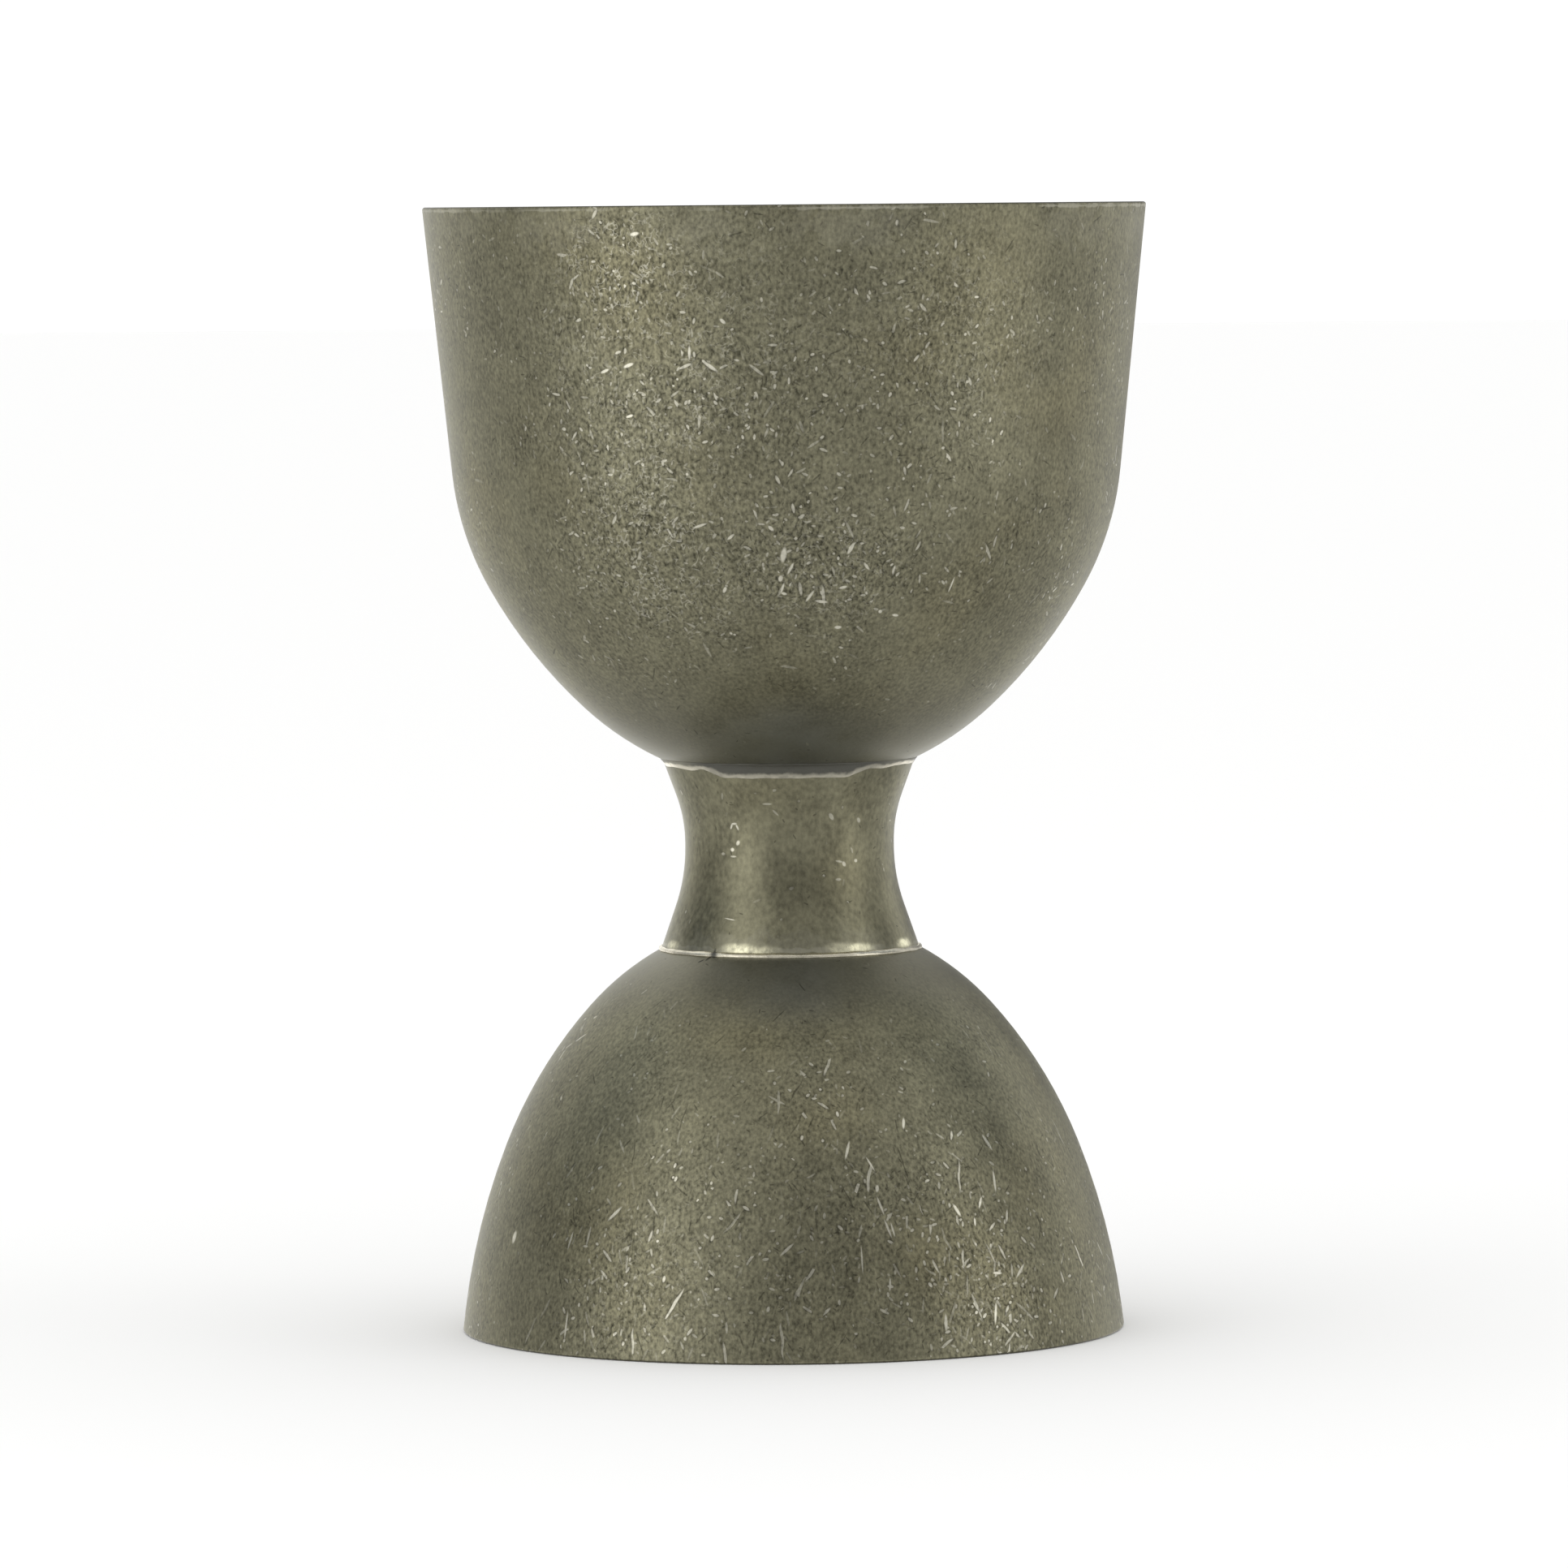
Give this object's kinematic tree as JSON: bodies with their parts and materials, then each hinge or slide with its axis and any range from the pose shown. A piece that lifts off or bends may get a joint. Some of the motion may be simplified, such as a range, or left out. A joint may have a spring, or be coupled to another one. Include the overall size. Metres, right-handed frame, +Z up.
{
  "type": "bell jigger",
  "caption": "Bell jigger: a deep steel cup and a smaller domed cup, joined back to back by a hollow waisted neck, for measuring spirits behind a bar.",
  "frame": {"origin": "centre of the small cup's rim plane, on the axis", "axes": "+Z up along the common axis, from the small cup to the large cup; the pictured front faces -Y"},
  "size_m": [0.0528, 0.0528, 0.0824],
  "materials": {
    "cup_steel": "tumbled and darkened, satin, with fine bright nicks",
    "neck_steel": "tumbled and darkened, satin, smoother than the cups",
    "weld_steel": "blended weld, rubbed bright"
  },
  "bodies": {
    "root": {"large_cup": "cup_steel", "small_cup": "cup_steel", "neck": "neck_steel", "upper_weld": "weld_steel", "lower_weld": "weld_steel"}
  },
  "joints": []
}
